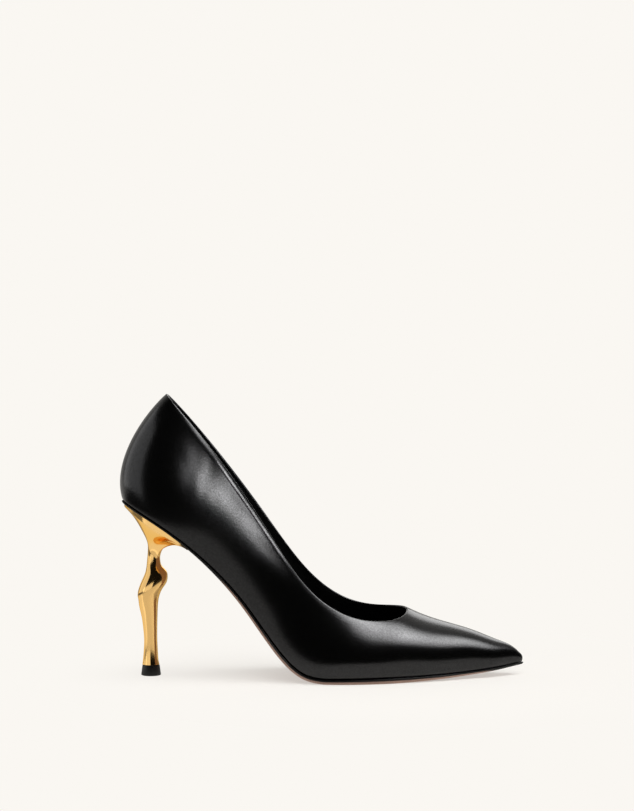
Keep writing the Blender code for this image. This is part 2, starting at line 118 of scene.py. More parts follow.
LAST = (
    LastRow(0.9, -1.9, 1.9, 17.3, 100.6, 1.9, 0, -19, 26.0, 0.0, 21.0, 26),
    LastRow(3.5, 17.9, 21.8, 18.4, 99.7, 1.9, 48, -8, 30.0, 4.0, 19.0, 22),
    LastRow(8.8, 29.0, 32.6, 21.9, 97.0, 2.3, 76, 12, 27.0, 7.0, 18.0, 10),
    LastRow(16.2, 33.4, 34.8, 28.9, 86.3, 3.1, 88, 25, 24.0, 7.5, 21.0, 0),
    LastRow(23.7, 30.4, 31.0, 36.4, 72.0, 3.8, 90, 33, 22.0, 8.0, 18.5, 0),
    LastRow(30.7, 28.6, 27.0, 43.0, 60.1, 4.5, 90, 38, 21.0, 9.0, 18.5, 0),
    LastRow(37.3, 31.4, 28.6, 49.1, 50.0, 5.1, 90, 38, 22.0, 10.5, 20.0, 0),
    LastRow(44.7, 40.6, 38.2, 55.7, 39.9, 5.8, 90, 30, 22.0, 12.5, 17.0, 0),
    LastRow(53.1, 46.9, 45.6, 61.4, 32.7, 6.4, 90, 18, 21.0, 13.0, 13.0, 0),
    LastRow(61.8, 45.3, 45.4, 66.9, 27.0, 6.4, 90, 10, 19.5, 11.5, 14.0, 0),
    LastRow(70.2, 39.3, 38.5, 72.0, 22.5, 6.4, 90, 3, 19.5, 9.5, 19.0, -22),
    LastRow(78.9, 29.4, 29.4, 79.2, 18.6, 6.4, 90, 0, 16.0, 7.0, 18.0, -20),
    LastRow(87.7, 16.9, 19.5, 87.9, 15.1, 6.4, 92, 0, 13.8, 4.8, 12.0, -20),
    LastRow(94.3, 7.4, 13.3, 94.3, 11.7, 6.4, 98, 0, 8.5, 2.8, 7.5, -20),
    LastRow(98.2, -0.8, 9.9, 97.9, 9.5, 6.4, 122, 0, 5.5, 1.0, 4.0, -28),
    LastRow(100.4, -6.4, 6.4, 99.2, 8.0, 6.4, 180, 8, 4.0, 0.0, 2.8, -45),
)


class ShankRow(NamedTuple):
    """Underside of the sole behind the ball."""

    along: float  # percent of SHOE_LENGTH
    rise: float  # percent of HEEL_HEIGHT


SHANK = (
    ShankRow(0.9, 100.0),
    ShankRow(8.3, 90.5),
    ShankRow(15.8, 78.6),
    ShankRow(23.7, 61.6),
    ShankRow(30.7, 42.3),
    ShankRow(36.0, 25.0),
    ShankRow(40.8, 11.0),
    ShankRow(45.6, 2.6),
    ShankRow(TREAD_START, 0.0),
)


class SoleRow(NamedTuple):
    """Thickness of the outsole."""

    along: float  # percent of SHOE_LENGTH
    thick: float  # mm


SOLE = (
    SoleRow(0.0, 0.8),
    SoleRow(18.0, 1.1),
    SoleRow(30.0, 1.9),
    SoleRow(40.0, 2.3),
    SoleRow(55.0, 2.5),
    SoleRow(70.0, 2.7),
    SoleRow(85.0, 1.8),
    SoleRow(100.0, 1.1),
)


class ToplineRow(NamedTuple):
    """Top edge of the upper, seen from the side."""

    along: float  # percent of SHOE_LENGTH
    outer: float  # height on the outer side, percent of CROWN_HEIGHT
    inner: float  # height on the inner side, percent of CROWN_HEIGHT


TOPLINE = (
    ToplineRow(11.6, 95.7, 95.7),
    ToplineRow(18.1, 86.1, 85.6),
    ToplineRow(26.0, 73.0, 72.5),
    ToplineRow(35.8, 53.4, 54.8),
    ToplineRow(44.9, 34.7, 37.6),
    ToplineRow(53.5, 24.4, 27.0),
    ToplineRow(61.6, 20.7, 23.0),
    ToplineRow(THROAT_ALONG, 20.7, 23.5),
)


class ShaftRow(NamedTuple):
    """A section of the heel below its neck."""

    height: float  # above the floor, mm
    shift: float  # centre forward of the top piece, mm
    depth: float  # half size along the foot, mm
    breadth: float  # half size across the foot, mm
    slant: float  # rise of the section toward the toe, degrees


SHAFT = (
    ShaftRow(6.2, -0.1, 4.85, 4.85, 0),
    ShaftRow(9.2, -0.2, 4.35, 4.4, 0),
    ShaftRow(14.0, -0.15, 4.0, 4.0, 0),
    ShaftRow(20.0, -0.15, 3.75, 3.85, 0),
    ShaftRow(27.0, -0.4, 4.0, 4.0, 5),
    ShaftRow(34.2, -0.7, 4.7, 4.5, 17),
    ShaftRow(40.0, -0.95, 5.95, 5.2, 28),
    ShaftRow(44.7, -0.3, 7.6, 6.0, 31),
    ShaftRow(48.2, 0.85, 9.3, 6.6, 30),
    ShaftRow(52.3, 1.15, 9.5, 6.7, 28),
    ShaftRow(57.3, 2.05, 7.0, 5.9, 19),
    ShaftRow(60.6, 1.8, 4.9, 4.8, 16),
    ShaftRow(63.4, 1.6, 4.0, 4.1, 10),
    ShaftRow(66.2, 1.65, 3.65, 3.75, 0),
)


class FlareRow(NamedTuple):
    """How the heel spreads from its neck to the seat."""

    angle: float  # around the neck, degrees from the front
    band: float  # upright band under the seat, mm
    fall: float  # slope below the seat where the flare leaves the band, degrees
    seat_reach: float  # how long it keeps that slope, mm
    neck_reach: float  # how long it keeps the shaft's way above the neck, mm


FLARE = (
    FlareRow(0.0, 0.4, 54.0, 6.0, 5.0),
    FlareRow(WING_ANGLE, 0.3, 7.0, 14.0, 6.0),
    FlareRow(100.0, 2.8, 32.0, 15.0, 11.0),
    FlareRow(140.0, 1.8, 26.0, 16.0, 12.0),
    FlareRow(180.0, 1.3, 12.0, 17.0, 13.0),
)


class EdgeRow(NamedTuple):
    """A line along the edge of the outsole."""

    back: float  # inward from the widest line, mm
    share: float  # height above the tread, share of the thickness
    paint: float  # 1 where it is painted


EDGE = (
    EdgeRow(0.9, 0.0, 0.0),
    EdgeRow(0.495, 0.06, 0.0),
    EdgeRow(0.108, 0.3, 0.0),
    EdgeRow(0.0, 0.45, 0.0),
    EdgeRow(0.0, 0.55, 0.0),
    EdgeRow(0.0, 0.6, 1.0),
    EdgeRow(0.0, 0.93, 1.0),
    EdgeRow(0.15, 1.0, 1.0),
)


class Spot(NamedTuple):
    """A small gridded light close to the near quarter, for one patch of the calf's gloss."""

    name: str
    azimuth: float  # degrees, as for Softbox
    elevation: float  # degrees
    radiance: float  # as for Softbox
    aim_x: float  # metres
    aim_z: float  # metres


SPOTS = (
    Spot("collar_box_0", 4.0, 27.0, 4.0, -0.068, 0.124),
    Spot("collar_box_1", 19.0, 23.0, 9.0, -0.065, 0.118),
    Spot("collar_box_2", 12.0, 16.0, 13.0, -0.067, 0.112),
    Spot("quarter_box_0", 23.0, 12.0, 12.0, -0.06, 0.106),
    Spot("quarter_box_1", 34.0, 15.0, 10.0, -0.056, 0.105),
    Spot("quarter_box_2", 45.0, 18.0, 10.0, -0.053, 0.107),
    Spot("quarter_box_3", 34.0, 10.0, 7.0, -0.047, 0.095),
    Spot("quarter_box_4", 30.0, 13.0, 4.5, -0.04, 0.087),
)


class Spline:
    """Cubic spline through a column of values."""

    def __init__(self, knots: Sequence[float], values: Sequence[float], level_ends: bool = False) -> None:
        """Work out the slopes at the knots.

        Args:
            knots: Places of the values, rising.
            values: Value at each knot.
            level_ends: Ends are level if True, and straight if not.
        """
        self.x = np.array(knots, float)
        self.v = np.array(values, float)
        self.h = np.diff(self.x)
        d = np.diff(self.v) / self.h
        n = len(self.x)
        matrix = np.zeros((n, n))
        right = np.zeros(n)
        for i in range(1, n - 1):
            matrix[i, i - 1 : i + 2] = 1 / self.h[i - 1], 2 / self.h[i - 1] + 2 / self.h[i], 1 / self.h[i]
            right[i] = 3 * (d[i - 1] / self.h[i - 1] + d[i] / self.h[i])
        matrix[0, 0] = matrix[-1, -1] = 1.0 if level_ends else 2.0
        if not level_ends:
            matrix[0, 1] = matrix[-1, -2] = 1.0
            right[0] = 3 * d[0]
            right[-1] = 3 * d[-1]
        self.slope = np.linalg.solve(matrix, right)

    def __call__(self, at: Any) -> Any:
        """Value of the spline.

        Args:
            at: One place, or an array of them.

        Returns:
            Value at each place.
        """
        i = np.clip(np.searchsorted(self.x, at) - 1, 0, len(self.x) - 2)
        h = self.h[i]
        q = (at - self.x[i]) / h
        start = self.v[i] * (1 + 2 * q) * (1 - q) ** 2 + self.slope[i] * h * q * (1 - q) ** 2
        end = self.v[i + 1] * q**2 * (3 - 2 * q) + self.slope[i + 1] * h * q**2 * (q - 1)
        return start + end


def along_x(percent: Any) -> Any:
    """Place along the foot, in millimetres from the middle of the shoe."""
    return (percent - MIDDLE_ALONG) / 100 * SHOE_LENGTH


def unit(vectors: Array) -> Array:
    """Vectors scaled to length 1 along their last axis."""
    return vectors / np.maximum(np.linalg.norm(vectors, axis=-1, keepdims=True), TINY)


def bezier(points: Array, q: Array) -> Array:
    """Points of many cubic curves.

    Args:
        points: Control points, shaped (curves, 4, 3).
        q: Shares along each curve, shaped (curves, rows).

    Returns:
        Points shaped (curves, rows, 3).
    """
    a, b, c, d = (points[:, None, k, :] for k in range(4))
    q = q[..., None]
    return a * (1 - q) ** 3 + 3 * b * q * (1 - q) ** 2 + 3 * c * q**2 * (1 - q) + d * q**3


def bezier_slope(points: Array, q: Array) -> Array:
    """Directions of many cubic curves, with the same arguments as bezier."""
    a, b, c, d = (points[:, None, k, :] for k in range(4))
    q = q[..., None]
    return (b - a) * (1 - q) ** 2 + 2 * (c - b) * q * (1 - q) + (d - c) * q**2


def bunch(count: int, even: float, start: float = 0.0) -> Array:
    """Shares from 0 to 1 that crowd together toward their ends.

    Args:
        count: Count of steps.
        even: Share of even spacing that is mixed in.
        start: Where the shares begin on a half turn, radians: the larger, the less they crowd at 0.

    Returns:
        The shares.
    """
    turn = np.linspace(start, math.pi, count + 1)
    bunched = (math.cos(start) - np.cos(turn)) / (math.cos(start) + 1)
    return even * np.linspace(0, 1, count + 1) + (1 - even) * bunched


def by_column(table: Sequence[Any]) -> dict[str, Array]:
    """Columns of a table of named tuples, by name."""
    return dict(zip(table[0]._fields, np.array(table, float).T))


def hex_colour(code: str) -> tuple[float, float, float, float]:
    """Linear colour of an sRGB hex value such as "c0a080"."""
    shares = [int(code[i : i + 2], 16) / 255 for i in (0, 2, 4)]
    linear = [s / 12.92 if s <= 0.04045 else ((s + 0.055) / 1.055) ** 2.4 for s in shares]
    return (linear[0], linear[1], linear[2], 1.0)


def feed(node: Node, inputs: dict[Any, Any]) -> Node:
    """Set a node's inputs.

    Args:
        node: The node.
        inputs: Socket name or number, to a value or to the output socket that feeds it.

    Returns:
        The same node.
    """
    for name, value in inputs.items():
        if isinstance(value, NodeSocket):
            node.id_data.links.new(value, node.inputs[name])
        else:
            node.inputs[name].default_value = value
    return node


def add_node(tree: NodeTree, kind: str, inputs: dict[Any, Any], **settings: Any) -> Node:
    """Add a node with its settings and links.

    Args:
        tree: Node tree that it goes into.
        kind: Blender's name of the node, after ShaderNode.
        inputs: Its inputs, as for feed.
        settings: Properties of the node.

    Returns:
        The new node.
    """
    node = tree.nodes.new("ShaderNode" + kind)
    for name, value in settings.items():
        setattr(node, name, value)
    return feed(node, inputs)


def start_material(name: str) -> tuple[Material, Node, NodeSocket]:
    """Empty material.

    Args:
        name: Name of the real material.

    Returns:
        The material, its Principled shader and its Object coordinates.
    """
    material = bpy.data.materials.new(name)
    material.use_nodes = True
    tree = material.node_tree
    return material, tree.nodes["Principled BSDF"], add_node(tree, "TexCoord", {}).outputs["Object"]


def noise(place: NodeSocket, size: float, detail: float) -> NodeSocket:
    """Noise with cells size mm wide, on coordinates in metres."""
    inputs = {"Vector": place, "Scale": 1 / (size * MM), "Detail": detail}
    return add_node(place.id_data, "TexNoise", inputs).outputs[0]


def pores(place: NodeSocket, size: float, feature: str) -> NodeSocket:
    """Pores that lie size mm apart, on coordinates in metres."""
    inputs = {"Vector": place, "Scale": 1 / (size * MM)}
    return add_node(place.id_data, "TexVoronoi", inputs, feature=feature).outputs["Distance"]


def bump(height: NodeSocket, depth: float, **under: NodeSocket) -> NodeSocket:
    """Normal of a relief of depth mm, laid over the Normal of a coarser one if that is given."""
    return add_node(height.id_data, "Bump", {"Height": height, "Distance": depth * MM, **under}).outputs[0]


def remap(value: NodeSocket, low: Any, high: Any, start: float = 0.0, end: float = 1.0) -> NodeSocket:
    """Value carried from the range start to end over to low to high, which are numbers or sockets."""
    inputs = {"Value": value, "From Min": start, "From Max": end, "To Min": low, "To Max": high}
    return add_node(value.id_data, "MapRange", inputs).outputs[0]


def ease(value: NodeSocket, low: Any, high: Any, start: float, end: float) -> NodeSocket:
    """The same as remap, but level at both ends."""
    result = remap(value, low, high, start, end)
    result.node.interpolation_type = "SMOOTHSTEP"
    return result


def mix_colours(share: NodeSocket, first: Any, second: Any) -> NodeSocket:
    """Colour between two, which are colours or sockets; 6, 7 and 2 are the node's sockets for colours."""
    return add_node(share.id_data, "Mix", {0: share, 6: first, 7: second}, data_type="RGBA").outputs[2]


@dataclass(frozen=True)
class Finish:
    """What a piece is made of or dressed with, on a Principled shader."""

    name: str
    colour: str

    def inputs(self, place: NodeSocket) -> dict[str, Any]:
        """Inputs of the shader, worked out from the Object coordinates."""
        raise NotImplementedError

    def build(self) -> Material:
        """Build the material in its plain colour, and then with its own inputs."""
        material, shader, place = start_material(self.name)
        feed(shader, {"Base Color": hex_colour(self.colour), **self.inputs(place)})
        return material


@dataclass(frozen=True)
class CalfLeather(Finish):
    """Black calf, drum dyed and finished with a thin wax: satin gloss with a soft, slightly uneven sheen."""

    name: str = "black_box_calf"
    colour: str = "040404"
    worn_colour: str = "080808"
    gloss_colour: str = "fcfcfe"
    roughness: tuple[float, float] = (0.17, 0.23)  # least and most
    patch: float = 1.6  # patches of colour and roughness, mm
    sheen: tuple[float, float] = (0.38, 0.62)  # how unevenly the wax shines from grain to grain
    sheen_noise: tuple[float, float] = (0.3, 0.7)  # usual range of the noise behind that
    grain: float = 0.9  # pore to pore, mm: coarser than the real 0.2 mm, so that it shows
    grain_depth: float = 0.025
    pull: float = 26.0  # unevenness left by lasting, mm
    pull_depth: float = 0.22
    wax: float = 0.1  # weight of the glossy film
    wax_roughness: float = 0.15

    def inputs(self, place: NodeSocket) -> dict[str, Any]:
        """Pores, lasting unevenness, and a breath of change in colour and roughness."""
        patches = noise(place, self.patch, detail=3.0)
        grains = noise(place, self.grain, detail=2.0)
        wave = bump(noise(place, self.pull, detail=1.0), self.pull_depth)
        return {
            "Base Color": mix_colours(patches, hex_colour(self.colour), hex_colour(self.worn_colour)),
            "Roughness": remap(patches, *self.roughness),
            "Normal": bump(pores(place, self.grain, "SMOOTH_F1"), self.grain_depth, Normal=wave),
            "Specular IOR Level": remap(grains, *self.sheen, *self.sheen_noise),
            "Specular Tint": hex_colour(self.gloss_colour),
            "Coat Weight": self.wax,
            "Coat Roughness": self.wax_roughness,
        }


@dataclass(frozen=True)
class LiningLeather(Finish):
    """Dyed goat lining, unwaxed: matt, with a fine pebble."""

    name: str = "black_goat_lining"
    colour: str = "060606"
    roughness: tuple[float, float] = (0.5, 0.66)  # least and most
    grain: float = 0.7
    grain_depth: float = 0.06

    def inputs(self, place: NodeSocket) -> dict[str, Any]:
        """Pebbled grain."""
        pebbles = pores(place, self.grain, "F1")
        return {"Roughness": remap(pebbles, *self.roughness), "Normal": bump(pebbles, self.grain_depth)}


@dataclass(frozen=True)
class SoleLeather(Finish):
    """Vegetable-tanned sole leather: tan, waxed, with a black painted upper edge."""

    name: str = "tan_sole_leather"
    colour: str = "c4a392"
    dark_colour: str = "ab897a"
    paint: str = "0d0c0c"
    roughness: float = 0.48
    fibre: float = 0.8
    fibre_depth: float = 0.03

    def inputs(self, place: NodeSocket) -> dict[str, Any]:
        """Fibrous tan, which the paint attribute turns black along the edge."""
        fibres = noise(place, self.fibre, detail=4.0)
        tan = mix_colours(fibres, hex_colour(self.colour), hex_colour(self.dark_colour))
        painted = add_node(place.id_data, "Attribute", {}, attribute_name="paint").outputs["Fac"]
        return {
            "Base Color": mix_colours(painted, tan, hex_colour(self.paint)),
            "Roughness": self.roughness,
            "Normal": bump(fibres, self.fibre_depth),
        }


@dataclass(frozen=True)
class GoldPlating(Finish):
    """Gold-coloured electroplate over a polished moulding: a warm mirror with a trace of polishing haze."""

    name: str = "polished_gold_plate"
    colour: str = "ecc07a"
    edge_colour: str = "f8e0b0"
    roughness: tuple[float, float] = (0.08, 0.15)  # least and most
    haze: float = 7.0  # patches of polishing haze, mm

    def inputs(self, place: NodeSocket) -> dict[str, Any]:
        """Metal with faint polishing haze."""
        rough = remap(noise(place, self.haze, detail=3.0), *self.roughness)
        return {"Metallic": 1.0, "Roughness": rough, "Specular Tint": hex_colour(self.edge_colour)}


@dataclass(frozen=True)
class HeelRubber(Finish):
    """Moulded hard rubber of a top piece: black, matt, faintly pitted."""

    name: str = "black_hard_rubber"
    colour: str = "101010"
    roughness: tuple[float, float] = (0.42, 0.6)  # least and most
    grit: float = 0.6
    grit_depth: float = 0.03

    def inputs(self, place: NodeSocket) -> dict[str, Any]:
        """Fine pitting."""
        pits = noise(place, self.grit, detail=3.0)
        return {"Roughness": remap(pits, *self.roughness), "Normal": bump(pits, self.grit_depth)}


class SoleProfile:
    """Heights of the sole, seen from the side."""

    STEPS = 1800
    MARGIN = 6.0  # how far the profile runs past both ends of the shoe, mm

    def __init__(self) -> None:
        """Work out the tread line and the sole's thickness along the foot."""
        shank, sole = by_column(SHANK), by_column(SOLE)
        rise = Spline(along_x(shank["along"]), shank["rise"] / 100 * HEEL_HEIGHT)
        thick = Spline(along_x(sole["along"]), sole["thick"])
        reach = SHOE_LENGTH / 2 + self.MARGIN
        start, end = along_x(TREAD_START), along_x(TREAD_END)
        self.x = np.linspace(-reach, reach, self.STEPS)
        lift = np.clip((self.x - end) / (along_x(100) - end), 0, None) ** SPRING_POWER
        self.tread = np.where(self.x < start, np.maximum(rise(self.x), 0.0), TOE_SPRING * lift)
        self.thick = thick(self.x)
        self.steep = np.gradient(self.tread, self.x)
        size = np.hypot(1.0, self.steep)
        self.normal = np.stack([-self.steep / size, 1 / size])

    def height(self, x: Any, share: float, extra: float = 0.0) -> Any:
        """Height of a line of the sole.

        Args:
            x: Places along the foot, mm.
            share: Share of the thickness that the line lies above the tread.
            extra: Further distance above the tread, mm.

        Returns:
            Height at each place, mm.
        """
        lift = share * self.thick + extra
        return np.interp(x, self.x + lift * self.normal[0], self.tread + lift * self.normal[1])

    def slope(self, x: Any) -> Any:
        """Rise of the tread line per millimetre toward the toe."""
        return np.interp(x, self.x, self.steep)


class Last:
    """The form that the upper is pulled over: columns from the feather line up to the crown line."""

    FINE = 4000  # steps in which the throat is looked for
    HALVINGS = 40  # rounds that close in on a column's cut

    def __init__(self, sole: SoleProfile, fold: float) -> None:
        """Turn the section table into smooth functions of the place along the outline.

        Args:
            sole: Heights of the sole.
            fold: How far the columns stop below the top edge, mm.
        """
        self.sole = sole
        self.fold = fold
        row, top = by_column(LAST), by_column(TOPLINE)
        x = along_x(row["along"])
        half = (row["inner"] + row["outer"]) / 200 * BALL_WIDTH
        self.knots = np.concatenate([[0.0], np.cumsum(np.hypot(np.diff(x), np.diff(half)))])
        self.length = float(self.knots[-1])
        self.x = self.run(x)
        self.half = Spline(self.knots, half)
        self.middle = self.run((row["inner"] - row["outer"]) / 200 * BALL_WIDTH)
        self.crown_x = self.run(along_x(row["crown_along"]))
        self.crown_y = self.run(row["crown_side"] / 100 * BALL_WIDTH)
        self.crown_z = self.run(row["crown_rise"] / 100 * CROWN_HEIGHT)
        self.turn = Spline(self.knots, np.radians(row["turn"]))
        self.rake = self.run(np.radians(row["rake"]))
        self.lower = self.run(row["lower"])
        self.swell = self.run(row["swell"])
        self.shoulder = self.run(row["shoulder"])
        self.pitch = self.run(np.radians(row["pitch"]))
        top_x = along_x(top["along"])
        self.top_edge = {
            Side.OUTER: Spline(top_x, top["outer"] / 100 * CROWN_HEIGHT),
            Side.INNER: Spline(top_x, top["inner"] / 100 * CROWN_HEIGHT),
        }
        self.front = along_x(THROAT_ALONG) + fold
        fine = np.linspace(0.0, self.length, self.FINE)
        self.throat = float(np.interp(self.front, self.crown_x(fine), fine))

    def run(self, values: Sequence[float]) -> Spline:
        """Smooth function of the place along the outline, 0 at the back and length at the toe tip."""
        return Spline(self.knots, values, True)

    def feather(self, places: Array, side: Side) -> Array:
        """Points of the feather line on one side."""
        x = self.x(places)
        y = self.middle(places) + side.value * self.half(places)
        return np.stack([x, y, self.sole.height(x, 1.0, GAP)], -1)

    def columns(self, places: Array, side: Side) -> Array:
        """Control points of the columns at these places, shaped (places, 4, 3)."""
        turn, rake, pitch = self.turn(places), self.rake(places), self.pitch(places)
        none = np.zeros_like(places)
        foot = self.feather(places, side)
        crown = np.stack([self.crown_x(places), self.crown_y(places), self.crown_z(places)], -1)
        outward = np.stack([-np.cos(turn), side.value * np.sin(turn), none], -1)
        upward = np.stack([np.sin(rake), none, np.cos(rake)], -1)
        over = np.stack(
            [np.cos(turn) * np.cos(pitch), -side.value * np.sin(turn), np.cos(turn) * np.sin(pitch)], -1
        )
        low = foot + self.lower(places)[:, None] * upward + self.swell(places)[:, None] * outward
        return np.stack([foot, low, crown - self.shoulder(places)[:, None] * over, crown], 1)

    def top_height(self, x: Array, side: Side) -> Array:
        """Height where the columns stop, turning up into the throat at its front end."""
        reach = THROAT_ARC / 100 * SHOE_LENGTH
        edge = self.top_edge[side]

        def base(at: Any) -> Any:
            """Top edge lowered square to itself, by its slope over 1 mm."""
            return edge(at) - self.fold * np.hypot(1.0, edge(at + 0.5) - edge(at - 0.5))

        q = np.clip((x - self.front + reach) / reach, 0.0, 1.0)
        rise = self.crown_z(self.throat) - base(self.front)
        return base(np.minimum(x, self.front)) + rise * (1 - np.sqrt(1 - q**2))

    def cut(self, places: Array, side: Side) -> Array:
        """Share of each column that lies below its top."""
        points = self.columns(places, side)
        low, high = np.zeros_like(places), np.ones_like(places)
        for _ in range(self.HALVINGS):
            middle = (low + high) / 2
            at = bezier(points, middle[:, None])[:, 0]
            under = at[:, 2] < self.top_height(at[:, 0], side)
            low, high = np.where(under, middle, low), np.where(under, high, middle)
        return np.where(places >= self.throat - TINY, 1.0, (low + high) / 2)

    def outline(self, places: Array, outset: float) -> Sides:
        """Feather line in plan on both sides, moved outward.

        Args:
            places: Places along the outline, from the back to the toe tip.
            outset: Distance outward, mm.

        Returns:
            Points of each side, shaped (places, 2).
        """
        outer = self.feather(places, Side.OUTER)[:, :2]
        inner = self.feather(places, Side.INNER)[:, :2]
        loop = np.concatenate([outer, inner[-2:0:-1]])
        ahead = unit(np.roll(loop, -1, axis=0) - np.roll(loop, 1, axis=0))
        loop = loop + outset * np.stack([ahead[:, 1], -ahead[:, 0]], -1)
        count = len(places)
        return {Side.OUTER: loop[:count], Side.INNER: np.concatenate([loop[:1], loop[count - 1 :][::-1]])}


def lay_grid(points: Array) -> bmesh.types.BMesh:
    """Grid whose vertices are moved to given points.

    Args:
        points: Places in millimetres, shaped (rows, columns, 3).

    Returns:
        The mesh, with its rows and columns still in the grid's order.
    """
    rows, columns = points.shape[:2]
    mesh = bmesh.new()
    bmesh.ops.create_grid(mesh, x_segments=columns - 1, y_segments=rows - 1, size=0.5)
    for vert, point in zip(mesh.verts, points.reshape(-1, 3) * MM):
        vert.co = point
    return mesh


def add_object(name: str, data: Any) -> Object:
    """New object in the scene."""
    item = bpy.data.objects.new(name, data)
    bpy.context.scene.collection.objects.link(item)
    return item


def add_mesh(mesh: bmesh.types.BMesh, name: str, materials: Sequence[Material]) -> Object:
    """New object in the scene from a mesh, which is freed."""
    data = bpy.data.meshes.new(name)
    mesh.to_mesh(data)
    mesh.free()
    for material in materials:
        data.materials.append(material)
    return add_object(name, data)


def finish_piece(mesh: bmesh.types.BMesh, name: str, materials: Sequence[Material]) -> Object:
    """Weld a mesh, turn its faces outward and put it in the scene.

    Args:
        mesh: Mesh in metres, which is freed.
        name: Name of the piece.
        materials: Its materials, in the order of the faces' numbers.

    Returns:
        The piece.
    """
    bmesh.ops.remove_doubles(mesh, verts=mesh.verts[:], dist=WELD * MM)
    bmesh.ops.recalc_face_normals(mesh, faces=mesh.faces[:])
    for face in mesh.faces:
        face.smooth = True
    for edge in mesh.edges:
        edge.smooth = edge.calc_face_angle(0.0) < SHARP_ANGLE
    piece = add_mesh(mesh, name, materials)
    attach(piece, BODY)
    return piece


@dataclass
class Upper:
    """Lasted calf shell with a folded top edge, and the lining that stops just short of that edge."""

    sole: SoleProfile
    calf: CalfLeather = CalfLeather()
    lining: LiningLeather = LiningLeather()
    wall: float = 1.6  # leather and lining together
    fold_radius: float = 0.7  # roll of the folded edge
    curl: float = 0.9  # how far the leather leans inward at the folded edge
    curl_height: float = 4.0  # how far below the edge that starts
    curl_lift: float = 0.45  # share of the lean that goes up, so that the edge keeps its height
    curl_back: tuple[float, float, float] = (-90.0, 24.0, 0.1)  # x where it sets in, over what length, least
    curl_front: tuple[float, float, float] = (12.0, 35.0, 0.15)  # the same, from the throat backward
    facing: float = 1.3  # folded leather that shows inside, above the lining
    tuck: float = 0.3  # how far the leather turns in under its lower edge
    tuck_height: float = 2.2
    seam_depth: float = 0.22  # closed seam down the back
    seam_width: float = 0.45
    seam_share: float = 0.005  # closely spaced columns at the seam, share of the way to the throat
    seam_clear: float = 0.007  # share from which the usual columns start
    seam_columns: int = 4
    side_columns: int = 118
    side_even: float = 0.2  # spacing of the columns, as for bunch
    side_start: float = 0.5
    toe_columns: int = 60
    toe_even: float = 0.35
    outer_rows: int = 72
    roll_rows: int = 10
    inner_rows: int = 36
    follow: float = 0.6  # how far down the rows follow the top edge, per share of the column that is left
    follow_most: float = 4.0

    def shares(self) -> tuple[Array, Array]:
        """Columns as shares of the way to the throat, and of the way from there to the toe tip."""
        seam = np.linspace(0, self.seam_share, self.seam_columns + 1)
        side = bunch(self.side_columns, self.side_even, self.side_start)
        side = np.concatenate([seam, side[side > self.seam_clear]])
        return side, bunch(self.toe_columns, self.toe_even)

    @property
    def throat(self) -> int:
        """Number of the column at the throat."""
        return len(self.shares()[0]) - 1

    def places(self, last: Last) -> Array:
        """Columns of one side, from the back to the toe tip."""
        side, toe = self.shares()
        return np.concatenate([side * last.throat, last.throat + toe[1:] * (last.length - last.throat)])

    def skin(self, last: Last, rows: int) -> tuple[Sides, Sides]:
        """Surface of the last up to where its columns stop.

        Args:
            last: The form.
            rows: Count of rows.

        Returns:
            Points and outward normals of each side, shaped (columns, rows + 1, 3).
        """
        places = self.places(last)
        row = np.linspace(0, 1, rows + 1)[None, :]
        points: Sides = {}
        normals: Sides = {}
        cuts = {side: last.cut(places, side) for side in Side}
        back = (cuts[Side.OUTER][0] + cuts[Side.INNER][0]) / 2
        for side in Side:
            cuts[side][0] = back
            cut = cuts[side][:, None]
            follow = np.minimum(self.follow * cut / np.maximum(1 - cut, TINY), self.follow_most)
            share = row * (1 - (1 - cut) * row**follow)
            columns = last.columns(places, side)
            before = np.maximum(places - STEP, 0.0)
            after = np.minimum(places + STEP, last.length)
            ahead = bezier(last.columns(after, side), share) - bezier(last.columns(before, side), share)
            points[side] = bezier(columns, share)
            normals[side] = unit(-side.value * np.cross(ahead, bezier_slope(columns, share)))
        self.match_seams(normals)
        return points, normals

    def match_seams(self, normals: Sides) -> None:
        """Give both sides one normal down the back, along the crown line and at the toe tip."""
        throat = self.throat
        outer, inner = normals[Side.OUTER], normals[Side.INNER]
        back = unit(outer[0] + inner[0])
        tip = unit(outer[-2] + inner[-2])
        crown = unit(outer[throat:, -1] + inner[throat:, -1])
        for side in normals.values():
            side[0] = back
            side[throat:, -1] = crown
            side[-1] = tip

    def shape_outside(self, points: Array, normals: Array, places: Array) -> Array:
        """Outer skin with its lower edge tucked in and a seam down the back."""
        step = np.linalg.norm(np.diff(points, axis=1), axis=2)
        above = np.concatenate([np.zeros((len(points), 1)), np.cumsum(step, axis=1)], axis=1)
        depth = self.tuck * np.clip(1 - above / self.tuck_height, 0, 1) ** 2
        depth = depth + self.seam_depth * np.exp(-((places / self.seam_width) ** 2))[:, None]
        return points - depth[..., None] * normals

    def opening(self, points: Sides, normals: Sides) -> tuple[Array, Array, Array]:
        """Edge of the opening, from the back along the outer side and back along the inner side.

        Args:
            points: Skin of each side.
            normals: Its normals.

        Returns:
            Points of the edge, the way the skin faces there, and the way it runs out over the edge.
        """
        loops = []
        for sides in (points, normals):
            outer, inner = (sides[side][: self.throat + 1, -1] for side in Side)
            loops.append(np.concatenate([outer, inner[-2:0:-1]]))
        loop, facing = loops
        ahead = unit(np.roll(loop, -1, axis=0) - loop) + unit(loop - np.roll(loop, 1, axis=0))
        return loop, facing, unit(np.cross(facing, ahead))

    def lean(self, loop: Array) -> Array:
        """How far the skin leans inward along the edge of the opening, less at the back and the throat."""
        start, growth, least_back = self.curl_back
        end, fall, least_front = self.curl_front
        back = np.clip((loop[:, 0] - start) / growth, least_back, 1)
        front = np.clip((end - loop[:, 0]) / fall, least_front, 1)
        return self.curl * back * front

